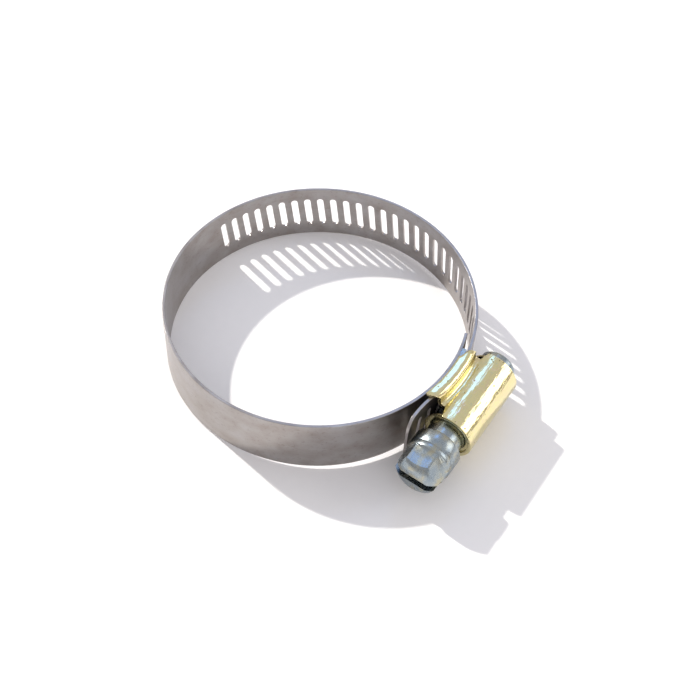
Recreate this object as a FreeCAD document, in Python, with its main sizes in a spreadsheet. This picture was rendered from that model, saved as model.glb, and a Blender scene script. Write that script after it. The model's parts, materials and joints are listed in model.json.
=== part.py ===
import FreeCAD, Part
import math
import os
import Sketcher

# Worm-drive hose clamp.
#
# Frame: the origin is on the axis of the bore, half way across the band.  +Z is the bore axis.
# The housing is on the -Y side.  The screw lies along X with its head towards -X.
#
# The band is one steel strip.  It starts with a plain end that is clinched to the saddle inside
# the housing, runs clockwise (seen from +Z) round the bore, and comes back through the housing
# on top of the saddle, under the worm.  A strip that bends has no single rigid shape, so it is
# cut into pieces at lands between slots, and each cut is a hinge.  Every piece is one arc.

os.makedirs("parts", exist_ok=True)
doc = FreeCAD.newDocument("hose_clamp")

# ---------------------------------------------------------------- driving dimensions (mm, deg)
DIMENSIONS = [
    ("bore_radius", 28.8),          # inner face of the band
    ("band_width", 12.7),
    ("band_thick", 0.6),
    ("slot_pitch", 2.7),            # along the middle of the strip's thickness; the worm's pitch
    ("slot_length", 7.2),
    ("slot_width", 1.35),
    ("slot_slant", 7.0),            # follows the worm's lead
    ("outer_layer_pitches", 9.5),   # from the middle of the housing to the last hinge
    ("piece_pitches", 12),          # length of each piece between two hinges
    ("straight_pitches", 2.5),      # from the middle of the housing to the tail's outward curl
    ("tail_radius", 24.0),
    ("tail_length", 7.9),
    ("tail_corner", 3.0),
    ("tongue_angle", 19.0),         # how far the fixed end reaches past the housing's middle
    ("saddle_thick", 0.8),
    ("saddle_angle", 11.5),         # half of the saddle's arc
    ("button_radius", 1.2),         # clinch buttons that hold the fixed end to the saddle
    ("button_angle", 6.5),
    ("button_clearance", 0.03),
    ("band_clearance", 0.1),        # between the saddle and the moving layer
    ("sheet_thick", 0.8),           # housing
    ("barrel_clearance", 0.3),      # between the worm's crests and the barrel
    ("barrel_length", 17.4),
    ("flange_angle", 12.6),         # half of the flange's arc
    ("flange_setback", 0.7),        # from the bore to the flange's inner edge
    ("side_clearance", 0.1),        # between the band's edges and the flanges
    ("neck_clearance", 0.3),        # between the moving layer and the neck of the housing
    ("worm_radius", 4.1),
    ("thread_depth", 1.15),
    ("thread_crest", 0.45),
    ("thread_base", 1.0),
    ("thread_reach", 0.45),         # how far the thread goes into the slots
    ("worm_length", 15.4),
    ("thrust_length", 0.7),         # plain collar at each end of the worm
    ("thrust_radius", 4.1),
    ("thread_turns", 4.5),
    ("journal_radius", 3.6),
    ("journal_clearance", 0.08),
    ("collar_gap", 2.6),            # between the housing and the collar
    ("collar_radius", 4.6),
    ("collar_length", 4.2),
    ("hex_flats", 7.94),
    ("hex_length", 3.5),
    ("dome_length", 1.3),
    ("dome_face", 2.9),             # radius of the flat on the end of the dome
    ("driver_slot_width", 1.8),
    ("driver_slot_depth", 2.4),
    ("tip_length", 2.4),            # beyond the housing
    ("tip_round", 0.5),
    ("window_height", 6.8),         # opening between the necks, where the worm meets the band
    ("head_angle", 4.0),            # how the hexagon and its slot stand when the part is at rest
]

FREE_END_SLOTS = 12
TAIL_SLOTS = 2
SPAN_THREE_SLOTS = 11
SPAN_FOUR_SLOTS = 12
SETTLING_ROUNDS = 60                # for the two easing arcs
TOLERANCE = 0.1                     # for finding an edge by its place

sheet = doc.addObject("Spreadsheet::Sheet", "sheet")
for row, (alias, value) in enumerate(DIMENSIONS, start=1):
    sheet.set("A%d" % row, alias)
    sheet.set("B%d" % row, str(value))
    sheet.setAlias("B%d" % row, alias)


def add_cell(alias, text):
    """A further cell, holding a formula or a worked-out number."""
    row = add_cell.row
    sheet.set("A%d" % row, alias)
    sheet.set("B%d" % row, text)
    sheet.setAlias("B%d" % row, alias)
    add_cell.row += 1
    ADDED.append(alias)
    doc.recompute()


add_cell.row = len(DIMENSIONS) + 1
ADDED = []
doc.recompute()


def cell(alias):
    return float(sheet.get(alias))


# radii that follow from the stack of layers, from the bore outwards
add_cell("inner_layer", "=bore_radius + band_thick / 2")
add_cell("saddle_inner", "=bore_radius + band_thick")
add_cell("saddle_outer", "=saddle_inner + saddle_thick")
add_cell("outer_layer", "=saddle_outer + band_clearance + band_thick / 2")
add_cell("worm_axis", "=outer_layer + band_thick / 2 + worm_radius - thread_reach")
add_cell("worm_root", "=worm_radius - thread_depth")
add_cell("barrel_inner", "=worm_radius + barrel_clearance")
add_cell("barrel_outer", "=barrel_inner + sheet_thick")
add_cell("neck_inner", "=outer_layer + band_thick / 2 + neck_clearance")
add_cell("neck_outer", "=neck_inner + sheet_thick")
add_cell("flange_under", "=band_width / 2 + side_clearance")
add_cell("flange_top", "=flange_under + sheet_thick")

# distances along the screw, from the end of its head
add_cell("collar_start", "=dome_length + hex_length")
add_cell("collar_end", "=collar_start + collar_length")
add_cell("worm_middle", "=collar_end + collar_gap + barrel_length / 2")
add_cell("worm_start", "=worm_middle - worm_length / 2")
add_cell("worm_end", "=worm_middle + worm_length / 2")
add_cell("tip_end", "=worm_middle + barrel_length / 2 + tip_length")


def polar(radius, degrees):
    angle = math.radians(degrees)
    return FreeCAD.Vector(radius * math.cos(angle), radius * math.sin(angle), 0)


def arc_degrees(length, radius):
    return math.degrees(length / radius)


def easing_radii():
    """Radii of the two pieces that lead the strip from the inner layer out to the outer one.

    The three arcs' centres have to close on the bore axis, which gives two linear equations
    for the radii once the hinges' angles are known.  The angles follow from the radii, so the
    two are settled by repetition.
    """
    length = cell("piece_pitches") * cell("slot_pitch")
    inner, outer = cell("inner_layer"), cell("outer_layer")
    last = -90 + arc_degrees(cell("outer_layer_pitches") * cell("slot_pitch"), outer)
    first_radius = second_radius = outer
    for _ in range(SETTLING_ROUNDS):
        middle = last + arc_degrees(length, second_radius)
        start = middle + arc_degrees(length, first_radius)
        a, b, c = polar(1, start), polar(1, middle), polar(1, last)
        # (inner - r1) a + (r1 - r2) b + (r2 - outer) c = 0
        m11, m12 = b.x - a.x, c.x - b.x
        m21, m22 = b.y - a.y, c.y - b.y
        k1 = outer * c.x - inner * a.x
        k2 = outer * c.y - inner * a.y
        det = m11 * m22 - m12 * m21
        first_radius = (k1 * m22 - k2 * m12) / det
        second_radius = (m11 * k2 - m21 * k1) / det
    return first_radius, second_radius


first_easing, second_easing = easing_radii()
add_cell("first_easing", "%.6f" % first_easing)
add_cell("second_easing", "%.6f" % second_easing)

# hinge angles round the bore, from the outer layer backwards along the strip
add_cell("hinge_five", "=-90 + outer_layer_pitches * slot_pitch / outer_layer * 180 / pi")
add_cell("hinge_four", "=hinge_five + piece_pitches * slot_pitch / second_easing * 180 / pi")
add_cell("hinge_three", "=hinge_four + piece_pitches * slot_pitch / first_easing * 180 / pi")
add_cell("hinge_two", "=hinge_three + piece_pitches * slot_pitch / inner_layer * 180 / pi")
add_cell("hinge_one", "=hinge_two + piece_pitches * slot_pitch / inner_layer * 180 / pi")

# centres of the two easing arcs
add_cell("first_x", "=(inner_layer - first_easing) * cos(hinge_three * 1 deg)")
add_cell("first_y", "=(inner_layer - first_easing) * sin(hinge_three * 1 deg)")
add_cell("second_x", "=(outer_layer - second_easing) * cos(hinge_five * 1 deg)")
add_cell("second_y", "=(outer_layer - second_easing) * sin(hinge_five * 1 deg)")

# the curled tail: its arc's centre and angles, about the free end's own first slot
add_cell("outer_step", "=slot_pitch / outer_layer * 180 / pi")
add_cell("first_step", "=slot_pitch / first_easing * 180 / pi")
add_cell("second_step", "=slot_pitch / second_easing * 180 / pi")
add_cell("tail_step", "=slot_pitch / tail_radius * 180 / pi")
add_cell("tail_x", "=(outer_layer + tail_radius) * cos(outer_step / 2 * 1 deg)")
add_cell("tail_y", "=-(outer_layer + tail_radius) * sin(outer_step / 2 * 1 deg)")
add_cell("tail_start", "=180 - outer_step / 2")
add_cell("tail_end", "=tail_start + tail_length / tail_radius * 180 / pi")


# ---------------------------------------------------------------- helpers
def from_sheet(expression):
    """Prefix each cell name in an expression with the sheet's name."""
    words = []
    word = ""
    for mark in expression + " ":
        if mark.isalnum() or mark == "_":
            word += mark
            continue
        words.append("sheet." + word if word in NAMES else word)
        words.append(mark)
        word = ""
    return "".join(words).strip()


def value_of(expression):
    """The present value of a sheet expression."""
    return float(sheet.evalExpression(from_sheet(expression)))


def bind(thing, **expressions):
    for prop, expression in expressions.items():
        thing.setExpression(prop, from_sheet(expression))
    return thing


def new_body(label):
    body = doc.addObject("PartDesign::Body", label)
    body.Label = label
    return body


def origin_feature(body, role):
    return [item for item in body.Origin.OriginFeatures if item.Role == role][0]


def new_sketch(body, name, role):
    sketch = body.newObject("Sketcher::SketchObject", name)
    sketch.AttachmentSupport = (origin_feature(body, role), [""])
    sketch.MapMode = "FlatFace"
    return sketch


def radial_sketch(body, name, angle, radius="0", centre=("0", "0")):
    """A sketch that faces outwards, at an angle about the body's Z axis or a line beside it."""
    sketch = new_sketch(body, name, "YZ_Plane")
    sketch.AttachmentOffset = FreeCAD.Placement(
        FreeCAD.Vector(), FreeCAD.Rotation(FreeCAD.Vector(0, 1, 0), value_of(angle)))
    across = "(%s) + (%s) * sin((%s) * 1 deg)" % (centre[1], radius, angle)
    ahead = "(%s) + (%s) * cos((%s) * 1 deg)" % (centre[0], radius, angle)
    sketch.setExpression("AttachmentOffset.Base.x", from_sheet(across))
    sketch.setExpression("AttachmentOffset.Base.z", from_sheet(ahead))
    sketch.setExpression("AttachmentOffset.Rotation.Angle", from_sheet("(%s) * 1 deg" % angle))
    return sketch


def size_constraint(sketch, kind, *parts, size):
    """A dimension of a sketch that follows a sheet expression."""
    value = value_of(size)
    unit = ""
    if kind == "Angle":
        value = math.radians(value)
        unit = " * 1 deg"
    index = sketch.addConstraint(Sketcher.Constraint(kind, *parts, value))
    sketch.setExpression("Constraints[%d]" % index, from_sheet("(%s)%s" % (size, unit)))


def pin_point(sketch, geometry, end, x, y):
    """Fix one point of a sketch at two sheet expressions; "0" puts it on the axis."""
    for kind, axis, size in (("DistanceX", -2, x), ("DistanceY", -1, y)):
        if size == "0":
            sketch.addConstraint(Sketcher.Constraint("PointOnObject", geometry, end, axis))
        else:
            size_constraint(sketch, kind, -1, 1, geometry, end, size=size)


def outline(sketch, points):
    """A closed outline of straight edges through points given as sheet expressions."""
    spots = [FreeCAD.Vector(value_of(x), value_of(y), 0) for x, y in points]
    count = len(spots)
    for i in range(count):
        sketch.addGeometry(Part.LineSegment(spots[i], spots[(i + 1) % count]), False)
    for i in range(count):
        sketch.addConstraint(Sketcher.Constraint("Coincident", i, 2, (i + 1) % count, 1))
    for i, (x, y) in enumerate(points):
        pin_point(sketch, i, 1, x, y)


def disc(sketch, radius):
    """A circle about the sketch's own origin."""
    middle = FreeCAD.Vector(0, 0, 0)
    index = sketch.addGeometry(Part.Circle(middle, FreeCAD.Vector(0, 0, 1), value_of(radius)), False)
    sketch.addConstraint(Sketcher.Constraint("Coincident", index, 3, -1, 1))
    size_constraint(sketch, "Radius", index, size=radius)


def arc_outline(sketch, radius, thick, start, end, centre=None):
    """The outline of an arc of strip, seen along the bore: two arcs and two radial ends."""
    middle, half = value_of(radius), value_of(thick) / 2
    spot = FreeCAD.Vector(0, 0, 0)
    if centre:
        spot = FreeCAD.Vector(value_of(centre[0]), value_of(centre[1]), 0)
    angles = (value_of(start), value_of(end))
    for size in (middle + half, middle - half):
        circle = Part.Circle(spot, FreeCAD.Vector(0, 0, 1), size)
        arc = Part.ArcOfCircle(circle, math.radians(angles[0]), math.radians(angles[1]))
        sketch.addGeometry(arc, False)
    for angle in angles:
        ends = (spot + polar(middle - half, angle), spot + polar(middle + half, angle))
        sketch.addGeometry(Part.LineSegment(*ends), False)
    for arc in (0, 1):
        if centre:
            pin_point(sketch, arc, 3, *centre)
        else:
            sketch.addConstraint(Sketcher.Constraint("Coincident", arc, 3, -1, 1))
    for line, arc_end in ((2, 1), (3, 2)):
        sketch.addConstraint(Sketcher.Constraint("Coincident", line, 1, 1, arc_end))
        sketch.addConstraint(Sketcher.Constraint("Coincident", line, 2, 0, arc_end))
        sketch.addConstraint(Sketcher.Constraint("PointOnObject", 0, 3, line))
    size_constraint(sketch, "Radius", 0, size="%s + %s / 2" % (radius, thick))
    size_constraint(sketch, "Radius", 1, size="%s - %s / 2" % (radius, thick))
    size_constraint(sketch, "Angle", 2, size=start)
    size_constraint(sketch, "Angle", 3, size=end)


def pad(body, sketch, name, length, symmetric=False):
    feature = body.newObject("PartDesign::Pad", name)
    feature.Profile = sketch
    if symmetric:
        feature.SideType = "Symmetric"
    return bind(feature, Length=length)


def pocket(body, sketch, name, length):
    """A cut along the sketch's normal, which has to take material away."""
    before = body.Shape.Volume
    feature = body.newObject("PartDesign::Pocket", name)
    feature.Profile = sketch
    feature.Reversed = True
    bind(feature, Length=length)
    doc.recompute()
    if not body.Shape.Volume < before:
        raise RuntimeError(name + " cuts nothing")
    return feature


def place(body, x, y, angle="0"):
    """Put a body's own origin at x, y and turn it about Z, by sheet expressions."""
    body.Placement = FreeCAD.Placement(
        FreeCAD.Vector(), FreeCAD.Rotation(FreeCAD.Vector(0, 0, 1), 1))
    body.setExpression("Placement.Base.x", from_sheet(x))
    body.setExpression("Placement.Base.y", from_sheet(y))
    body.setExpression("Placement.Rotation.Angle", from_sheet("(%s) * 1 deg" % angle))


# ---------------------------------------------------------------- the strip, in six pieces
def slot_outline(sketch, lean):
    """A long hole with round ends.  Its top leans towards +x where lean is 1."""
    half_width = cell("slot_width") / 2
    half_long = (cell("slot_length") - cell("slot_width")) / 2
    turn = lean * math.radians(cell("slot_slant"))
    along = FreeCAD.Vector(math.sin(turn), math.cos(turn), 0)
    side = FreeCAD.Vector(math.cos(turn), -math.sin(turn), 0)
    top, bottom = along * half_long, along * -half_long
    for spot, low in ((top, -turn), (bottom, math.pi - turn)):
        circle = Part.Circle(spot, FreeCAD.Vector(0, 0, 1), half_width)
        sketch.addGeometry(Part.ArcOfCircle(circle, low, low + math.pi), False)
    left, right = side * -half_width, side * half_width
    sketch.addGeometry(Part.LineSegment(top + left, bottom + left), False)
    sketch.addGeometry(Part.LineSegment(bottom + right, top + right), False)
    for joint in ((0, 2, 2, 1), (2, 2, 1, 1), (1, 2, 3, 1), (3, 2, 0, 1)):
        sketch.addConstraint(Sketcher.Constraint("Tangent", *joint))
    sketch.addConstraint(Sketcher.Constraint("Symmetric", 0, 3, 1, 3, -1, 1))
    size_constraint(sketch, "Radius", 0, size="slot_width / 2")
    size_constraint(sketch, "Distance", 0, 3, 1, 3, size="slot_length - slot_width")
    size_constraint(sketch, "Angle", 3, size="90 - slot_slant * %d" % lean)


def slot_row(body, label, radius, step, count):
    """Slots through the strip, the first on the body's X axis and the rest one pitch apart."""
    sketch = radial_sketch(body, label + "_slot", "0")
    slot_outline(sketch, 1)
    first = pocket(body, sketch, label + "_first_slot", "%s + band_thick" % radius)
    row = body.newObject("PartDesign::PolarPattern", label + "_slots")
    row.Originals = [first]
    row.Axis = (origin_feature(body, "Z_Axis"), [""])
    row.Occurrences = count
    bind(row, Angle="%d * %s" % (count - 1, step))
    body.Tip = row
    doc.recompute()


def strip_piece(label, radius, start, end):
    body = new_body(label)
    sketch = new_sketch(body, label + "_arc", "XY_Plane")
    arc_outline(sketch, radius, "band_thick", start, end)
    pad(body, sketch, label + "_strip", "band_width", symmetric=True)
    doc.recompute()
    return body


def make_fixed_end():
    """The plain end, with two holes for the saddle's buttons."""
    body = strip_piece("band_fixed_end", "inner_layer", "hinge_one - 270", "tongue_angle")
    for side, angle in (("left", "-button_angle"), ("right", "button_angle")):
        hole = radial_sketch(body, "button_hole_" + side, angle)
        disc(hole, "button_radius + button_clearance")
        pocket(body, hole, "button_cut_" + side, "inner_layer + band_thick")
    place(body, "0", "0", "-90")
    return body


def make_plain_span(label, start, end):
    body = strip_piece(label, "inner_layer", "0", "(%s) - (%s)" % (end, start))
    place(body, "0", "0", start)
    return body


def make_slotted_span(label, radius, step, pitches, count, centre, start):
    """A piece whose first slot is half a pitch from its lower end."""
    body = strip_piece(label, radius, "-%s / 2" % step, "(%s - 0.5) * %s" % (pitches, step))
    slot_row(body, label, radius, step, count)
    place(body, centre[0], centre[1], "%s + %s / 2" % (start, step))
    return body


def make_free_end():
    """The slotted end that the worm draws in, with its tail curled a little outwards."""
    body = strip_piece("band_free_end", "outer_layer", "-outer_step / 2",
                       "(outer_layer_pitches + straight_pitches - 0.5) * outer_step")
    curl = new_sketch(body, "tail_arc", "XY_Plane")
    arc_outline(curl, "tail_radius", "band_thick", "tail_start", "tail_end", ("tail_x", "tail_y"))
    pad(body, curl, "tail", "band_width", symmetric=True)
    doc.recompute()
    slot_row(body, "band_free_end", "outer_layer", "outer_step", FREE_END_SLOTS)
    for number in range(TAIL_SLOTS):
        angle = "tail_start + %s * tail_step" % (number + 0.5)
        sketch = radial_sketch(body, "tail_slot_%d" % number, angle, centre=("tail_x", "tail_y"))
        slot_outline(sketch, -1)
        pocket(body, sketch, "tail_slot_cut_%d" % number, "tail_radius + band_thick")
    round_tail(body)
    place(body, "0", "0", "-90 - (straight_pitches - 0.5) * outer_step")
    return body


def round_tail(body):
    """Round the two corners of the tail's end."""
    end = polar(cell("tail_radius"), cell("tail_end"))
    end += FreeCAD.Vector(cell("tail_x"), cell("tail_y"), 0)
    corners = []
    for number, edge in enumerate(body.Shape.Edges, start=1):
        middle = edge.CenterOfMass
        flat = FreeCAD.Vector(middle.x, middle.y, 0)
        at_end = (flat - end).Length < TOLERANCE
        if at_end and abs(middle.z) > cell("band_width") / 2 - TOLERANCE:
            corners.append("Edge%d" % number)
    last = body.Tip
    fillet = body.newObject("PartDesign::Fillet", "tail_corners")
    fillet.Base = (last, corners)
    bind(fillet, Radius="tail_corner")
    body.Tip = fillet
    doc.recompute()


# ---------------------------------------------------------------- saddle, housing and screw
def make_saddle():
    """A curved plate between the layers, with two buttons through the fixed end."""
    body = new_body("saddle")
    sketch = new_sketch(body, "saddle_arc", "XY_Plane")
    arc_outline(sketch, "(saddle_inner + saddle_thick / 2)", "saddle_thick",
                "-saddle_angle", "saddle_angle")
    pad(body, sketch, "saddle_plate", "2 * flange_under", symmetric=True)
    for side, angle in (("left", "-button_angle"), ("right", "button_angle")):
        foot = radial_sketch(body, "button_" + side, angle, radius="bore_radius")
        disc(foot, "button_radius")
        pad(body, foot, "button_pad_" + side, "band_thick + saddle_thick / 2")
    place(body, "0", "0", "-90")
    doc.recompute()
    return body


def cylinder(name, radius, height, angle=None, along_x=False):
    """A cylinder centred on the bore axis or, along X, on the screw's axis."""
    item = bind(doc.addObject("Part::Cylinder", name), Radius=radius, Height=height)
    if along_x:
        item.Placement = FreeCAD.Placement(
            FreeCAD.Vector(), FreeCAD.Rotation(FreeCAD.Vector(0, 1, 0), 90))
        bind(item, **{"Placement.Base.x": "-(%s) / 2" % height,
                      "Placement.Base.y": "-worm_axis"})
        return item
    item.Placement = FreeCAD.Placement(
        FreeCAD.Vector(), FreeCAD.Rotation(FreeCAD.Vector(0, 0, 1), 1))
    bind(item, **{"Placement.Base.z": "-(%s) / 2" % height})
    if angle:
        bind(item, Angle="2 * (%s)" % angle)
        bind(item, **{"Placement.Rotation.Angle": "(-90 - (%s)) * 1 deg" % angle})
    return item


def cut(name, base, *tools):
    result = doc.addObject("Part::Cut", name)
    result.Base = base
    result.Tool = tools[0] if len(tools) == 1 else fuse(name + "_tools", *tools)
    return result


def fuse(name, *items):
    result = doc.addObject("Part::MultiFuse", name)
    result.Shapes = list(items)
    return result


def make_housing():
    """One bent sheet: a barrel round the worm, and necks that widen into two flanges.

    The flanges grip the edges of both layers of the band.  The barrel's ends are closed in
    round the screw, which keeps the worm from sliding along.
    """
    barrel = cut("barrel",
                 cylinder("barrel_outside", "barrel_outer", "barrel_length", along_x=True),
                 cylinder("barrel_inside", "barrel_inner", "barrel_length - 2 * sheet_thick",
                          along_x=True),
                 cylinder("barrel_eyes", "journal_radius + journal_clearance",
                          "barrel_length + 2 * sheet_thick", along_x=True),
                 cylinder("barrel_mouth", "neck_inner", "3 * band_width"))
    flanges = cut("flanges",
                  cylinder("flange_outside", "neck_outer", "2 * flange_top", angle="flange_angle"),
                  cylinder("band_space", "neck_inner", "2 * flange_under"),
                  cylinder("bore_space", "bore_radius + flange_setback", "3 * band_width"),
                  cylinder("worm_window", "neck_outer + sheet_thick", "window_height"))
    housing = fuse("housing", barrel, flanges)
    housing.Label = "housing"
    housing.Refine = True
    doc.recompute()
    return housing


def make_screw():
    """Hexagon head with a driver slot, collar, journals and worm, all one turned piece."""
    body = new_body("screw")
    profile = new_sketch(body, "screw_profile", "XY_Plane")
    outline(profile, [
        ("0", "0"), ("0", "dome_face"), ("dome_length", "hex_flats / sqrt(3)"),
        ("collar_start", "hex_flats / sqrt(3)"), ("collar_start", "collar_radius"),
        ("collar_end", "collar_radius"), ("collar_end", "journal_radius"),
        ("worm_start", "journal_radius"), ("worm_start", "thrust_radius"),
        ("worm_start + thrust_length", "thrust_radius"),
        ("worm_start + thrust_length", "worm_root"),
        ("worm_end - thrust_length", "worm_root"), ("worm_end - thrust_length", "thrust_radius"),
        ("worm_end", "thrust_radius"), ("worm_end", "journal_radius"),
        ("tip_end - tip_round", "journal_radius"),
        ("tip_end", "journal_radius - tip_round"), ("tip_end", "0")])
    turned = body.newObject("PartDesign::Revolution", "turned_blank")
    turned.Profile = profile
    turned.ReferenceAxis = (origin_feature(body, "X_Axis"), [""])
    turned.Angle = 360
    doc.recompute()
    cut_hexagon(body)
    cut_driver_slot(body)
    add_thread(body)
    body.Placement = FreeCAD.Placement()
    bind(body, **{"Placement.Base.x": "-worm_middle", "Placement.Base.y": "-worm_axis"})
    return body


def head_sketch(body, name):
    """A sketch across the end of the head, turned to the head's angle."""
    sketch = new_sketch(body, name, "YZ_Plane")
    sketch.AttachmentOffset = FreeCAD.Placement(
        FreeCAD.Vector(), FreeCAD.Rotation(FreeCAD.Vector(0, 0, 1), 1))
    sketch.setExpression("AttachmentOffset.Rotation.Angle", "sheet.head_angle * 1 deg")
    return sketch


def cut_hexagon(body):
    sketch = head_sketch(body, "hexagon")
    disc(sketch, "hex_flats")
    corner = cell("hex_flats") / math.sqrt(3)
    spots = [polar(corner, 60 * i) for i in range(6)]
    for i in range(6):
        sketch.addGeometry(Part.LineSegment(spots[i], spots[(i + 1) % 6]), False)
    for i in range(6):
        sketch.addConstraint(Sketcher.Constraint("Coincident", i + 1, 2, (i + 1) % 6 + 1, 1))
    for i in range(1, 6):
        sketch.addConstraint(Sketcher.Constraint("Equal", 1, i + 1))
    for i in (0, 2, 4):
        size_constraint(sketch, "Distance", i + 1, 1, -1, 1, size="hex_flats / sqrt(3)")
    sketch.addConstraint(Sketcher.Constraint("PointOnObject", 1, 1, -1))
    pocket(body, sketch, "hexagon_cut", "collar_start")


def cut_driver_slot(body):
    sketch = head_sketch(body, "driver_slot")
    half, reach = "driver_slot_width / 2", "hex_flats"
    outline(sketch, [("-" + reach, "-" + half), (reach, "-" + half), (reach, half),
                     ("-" + reach, half)])
    pocket(body, sketch, "driver_slot_cut", "driver_slot_depth")


def add_thread(body):
    """Right-hand thread, with a crest facing the band at the middle of the worm."""
    sketch = new_sketch(body, "thread_section", "XZ_Plane")
    start = "worm_middle - thread_turns * slot_pitch / 2"
    outline(sketch, [(start + " - thread_base / 2", "-worm_root"),
                     (start + " + thread_base / 2", "-worm_root"),
                     (start + " + thread_crest / 2", "-worm_radius"),
                     (start + " - thread_crest / 2", "-worm_radius")])
    thread = body.newObject("PartDesign::AdditiveHelix", "thread")
    thread.Profile = sketch
    thread.ReferenceAxis = (origin_feature(body, "X_Axis"), [""])
    thread.Mode = "pitch-height-angle"
    bind(thread, Pitch="slot_pitch", Height="thread_turns * slot_pitch")
    body.Tip = thread
    doc.recompute()


# ---------------------------------------------------------------- assembly
NAMES = [alias for alias, value in DIMENSIONS] + ADDED

make_fixed_end()
make_plain_span("band_span_1", "hinge_two", "hinge_one")
make_plain_span("band_span_2", "hinge_three", "hinge_two")
make_slotted_span("band_span_3", "first_easing", "first_step", "piece_pitches",
                  SPAN_THREE_SLOTS, ("first_x", "first_y"), "hinge_four")
make_slotted_span("band_span_4", "second_easing", "second_step", "piece_pitches",
                  SPAN_FOUR_SLOTS, ("second_x", "second_y"), "hinge_five")
make_free_end()
make_saddle()
make_housing()
make_screw()
doc.recompute()

NODES = ["band_fixed_end", "band_span_1", "band_span_2", "band_span_3", "band_span_4",
         "band_free_end", "saddle", "housing", "screw"]
for item in doc.Objects:
    if "Invalid" in item.State or "Error" in item.State:
        raise RuntimeError("%s did not build: %s" % (item.Label, item.State))
for node in NODES:
    shape = doc.getObjectsByLabel(node)[0].Shape
    if shape.isNull() or not shape.isValid() or len(shape.Solids) != 1:
        raise RuntimeError(node + " is not one valid solid")
for node in NODES:
    doc.getObjectsByLabel(node)[0].Shape.exportStep("parts/%s.step" % node)
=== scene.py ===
import json
import math

import bmesh
import bpy
from mathutils import Matrix, Quaternion, Vector


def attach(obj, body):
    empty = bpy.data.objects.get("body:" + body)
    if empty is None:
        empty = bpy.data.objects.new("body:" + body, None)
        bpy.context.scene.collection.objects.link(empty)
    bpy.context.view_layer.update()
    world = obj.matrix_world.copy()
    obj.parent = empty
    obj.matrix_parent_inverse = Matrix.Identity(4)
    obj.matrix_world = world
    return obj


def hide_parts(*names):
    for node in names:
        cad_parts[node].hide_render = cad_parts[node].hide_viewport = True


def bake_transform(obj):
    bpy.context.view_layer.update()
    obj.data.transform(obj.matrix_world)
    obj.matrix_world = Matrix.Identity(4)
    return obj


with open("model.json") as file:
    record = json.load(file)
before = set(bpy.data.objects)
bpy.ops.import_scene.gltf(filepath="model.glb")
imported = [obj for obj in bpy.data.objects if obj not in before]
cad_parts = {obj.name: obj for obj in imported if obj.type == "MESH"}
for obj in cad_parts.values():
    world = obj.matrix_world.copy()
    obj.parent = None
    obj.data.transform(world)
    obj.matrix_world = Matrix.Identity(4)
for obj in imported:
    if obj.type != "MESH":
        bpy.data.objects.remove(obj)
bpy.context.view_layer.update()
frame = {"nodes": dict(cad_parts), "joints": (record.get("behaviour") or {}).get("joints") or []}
MM = 0.001

# ---------------------------------------------------------------- sizes, in millimetres
# The strip's layers and the housing's stack, from the bore outwards, as in the CAD model.
INNER_LAYER = 29.1          # middle of the strip's thickness, fixed end and plain spans
OUTER_LAYER = 30.6          # middle of the strip's thickness under the worm
STRIP_THICK = 0.6
STRIP_HALF = 6.35           # half of the strip's width
EDGE = 0.09                 # rounding of the strip's edges
PITCH = 2.7
SLOT_LENGTH = 7.2
SLOT_WIDTH = 1.35
SLOT_SLANT = math.radians(7.0)
TAIL_RADIUS = 24.0
TAIL_LENGTH = 7.9
TAIL_CORNER = 3.0           # rounding of the tail's corners, across the strip
TAIL_CORNER_LONG = 2.5      # and along it, as far as the land before the last slot
TAIL_START = -2.5 * PITCH   # along the strip from the middle of the housing
BUTTON_ANGLE = 6.5
BUTTON_RADIUS = 1.2
BUTTON_GAP = 0.03           # between a button and the rim of its hole
BUTTON_LAND = 0.9           # from a button to the side of the hole's cell
TONGUE_ANGLE = 289.0        # where the fixed end stops, anticlockwise from +X
HOUSING_ANGLE = 270.0       # the middle of the housing
SLOTS = 33                  # slots from the middle of the housing to the strip's plain half
SEAMS = (50.5, 38.5, 27.5, 15.5, 3.5)   # where the visible pieces meet, in pitches
SCREW_AXIS = -34.55         # Y of the screw's axis
SHEET = 0.8                 # thickness of the housing's sheet
BARREL_RADIUS = 5.2         # outside of the barrel
FLANGE_TOP = 7.25           # Z of the flanges' outer faces
FLANGE_INNER = 29.5          # radius of the flanges' inner edges
NECK_RADIUS = 32.0          # outside of the necks

# ---------------------------------------------------------------- camera and stage
# The camera stands at the photograph's angle.  Angles are about the bore axis, in degrees.
CAMERA_BEARING = -147.0
CAMERA_ELEVATION = 51.2
CAMERA_DISTANCE = 239.5 * MM
CAMERA_ROLL = 3.7
CAMERA_TARGET = Vector((0.0, -8.0, -3.5)) * MM
CAMERA_LENS = 63.1
FLOOR_SIZE = 3.0
FLOOR_GAP = 0.02            # keeps the floor clear of the edges that rest on it


def make_camera():
    bearing, elevation = math.radians(CAMERA_BEARING), math.radians(CAMERA_ELEVATION)
    flat = Vector((math.cos(bearing), math.sin(bearing), 0)) * math.cos(elevation)
    place = (flat + Vector((0, 0, math.sin(elevation)))) * CAMERA_DISTANCE
    data = bpy.data.cameras.new("camera")
    data.lens = CAMERA_LENS
    data.sensor_width = 36.0
    data.clip_start, data.clip_end = 0.005, 20.0
    camera = bpy.data.objects.new("camera", data)
    camera.location = place
    camera.rotation_mode = "QUATERNION"
    look = (CAMERA_TARGET - place).to_track_quat("-Z", "Y")
    camera.rotation_quaternion = look @ Quaternion((0, 0, 1), math.radians(CAMERA_ROLL))
    bpy.context.scene.collection.objects.link(camera)
    bpy.context.scene.camera = camera


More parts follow.
